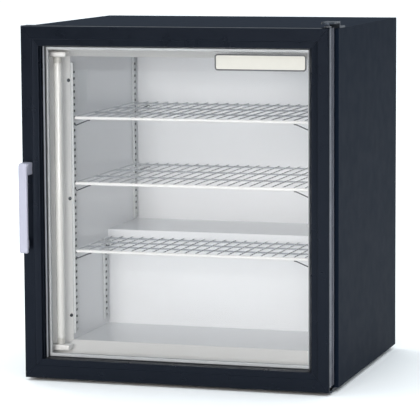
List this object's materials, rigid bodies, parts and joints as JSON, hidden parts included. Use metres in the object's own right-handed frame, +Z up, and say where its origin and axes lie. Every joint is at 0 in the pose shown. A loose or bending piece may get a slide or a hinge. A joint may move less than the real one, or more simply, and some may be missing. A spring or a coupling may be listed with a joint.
{
  "type": "glass door merchandiser",
  "caption": "Table-top refrigerated display cabinet with a hinged glass door, wire shelves, lit interior and rear machine compartment.",
  "frame": {"origin": "middle of the footprint, on the table under the feet", "axes": "+Z up, door and its pull towards -Y, hinge side towards +X"},
  "size_m": [0.622, 0.565, 0.6992],
  "materials": {
    "black_paint": "satin black enamel",
    "zinc_sheet": "bare zinc coated sheet",
    "white_liner": "white enamelled sheet",
    "white_strip": "white moulded plastic",
    "foam": "foamed insulation",
    "aluminium": "mill finish",
    "black_rubber": "soft black",
    "dark_plastic": "moulded black",
    "white_wire": "white epoxy coated wire",
    "lamp_glass": "frosted white tube",
    "clear_glass": "clear tempered glass",
    "black_frame": "black anodised extrusion",
    "silver_pull": "silver grey moulding",
    "blank_plate": "plain off-white plate",
    "steel_bracket": "dark plated steel",
    "copper_line": "copper tube"
  },
  "bodies": {
    "cabinet": {"outer_wrapper": "black_paint", "back_panel": "zinc_sheet", "machine_grille": "black_paint", "base_pan": "zinc_sheet", "foot_front_left": "black_rubber", "foot_front_right": "black_rubber", "foot_rear_left": "black_rubber", "foot_rear_right": "black_rubber", "insulation_foam": "foam", "inner_liner": "white_liner", "evaporator_plate": "aluminium", "breaker_left": "white_strip", "breaker_right": "white_strip", "breaker_top": "white_strip", "breaker_bottom": "white_strip", "pilaster_front_left": "white_strip", "pilaster_front_right": "white_strip", "pilaster_rear_left": "white_strip", "pilaster_rear_right": "white_strip", "pilaster_low_left": "white_strip", "pilaster_low_right": "white_strip", "shelf_top": "white_wire", "shelf_middle": "white_wire", "shelf_bottom": "white_wire", "lamp_tube": "lamp_glass", "lamp_cap_bottom": "aluminium", "lamp_cap_top": "aluminium", "lamp_holder_bottom": "white_strip", "lamp_holder_top": "white_strip", "lamp_channel": "white_strip", "compressor": "black_paint", "terminal_cover": "dark_plastic", "condenser_coil": "aluminium", "fan_shroud": "zinc_sheet", "fan_motor": "dark_plastic", "fan_bracket": "zinc_sheet", "drain_pan": "zinc_sheet", "refrigerant_lines": "copper_line", "lamp_ballast": "zinc_sheet", "control_tray": "black_paint", "thermostat_body": "zinc_sheet", "inlet_gland": "dark_plastic", "hinge_bracket_top": "steel_bracket", "hinge_bracket_bottom": "steel_bracket"},
    "door": {"door_rail_top": "black_frame", "door_rail_bottom": "black_frame", "door_stile_left": "black_frame", "door_stile_right": "black_frame", "glass_outer": "clear_glass", "glass_inner": "clear_glass", "glass_spacer": "aluminium", "glazing_bead": "black_rubber", "door_gasket": "black_rubber", "door_pull": "silver_pull", "nameplate": "blank_plate", "hinge_washer_top": "aluminium", "hinge_washer_bottom": "aluminium"},
    "fan": {"fan_blade": "aluminium"},
    "knob": {"thermostat_knob": "dark_plastic"},
    "rocker": {"lamp_rocker": "dark_plastic"}
  },
  "joints": [
    {"name": "door_swing", "type": "hinge", "parent": "cabinet", "child": "door", "pos_m": [0.298, -0.2295, 0.005], "axis": [0, 0, 1], "range_deg": [0, 110]},
    {"name": "condenser_fan_spin", "type": "hinge", "parent": "cabinet", "child": "fan", "pos_m": [-0.2085, 0.18665, 0.1181], "axis": [1, 0, 0], "continuous": true},
    {"name": "thermostat_turn", "type": "hinge", "parent": "cabinet", "child": "knob", "pos_m": [-0.021, 0.2635, 0.166], "axis": [0, -1, 0], "range_deg": [0, 300]},
    {"name": "lamp_switch_rock", "type": "hinge", "parent": "cabinet", "child": "rocker", "pos_m": [0.029, 0.256, 0.166], "axis": [1, 0, 0], "range_deg": [-16, 0]}
  ]
}
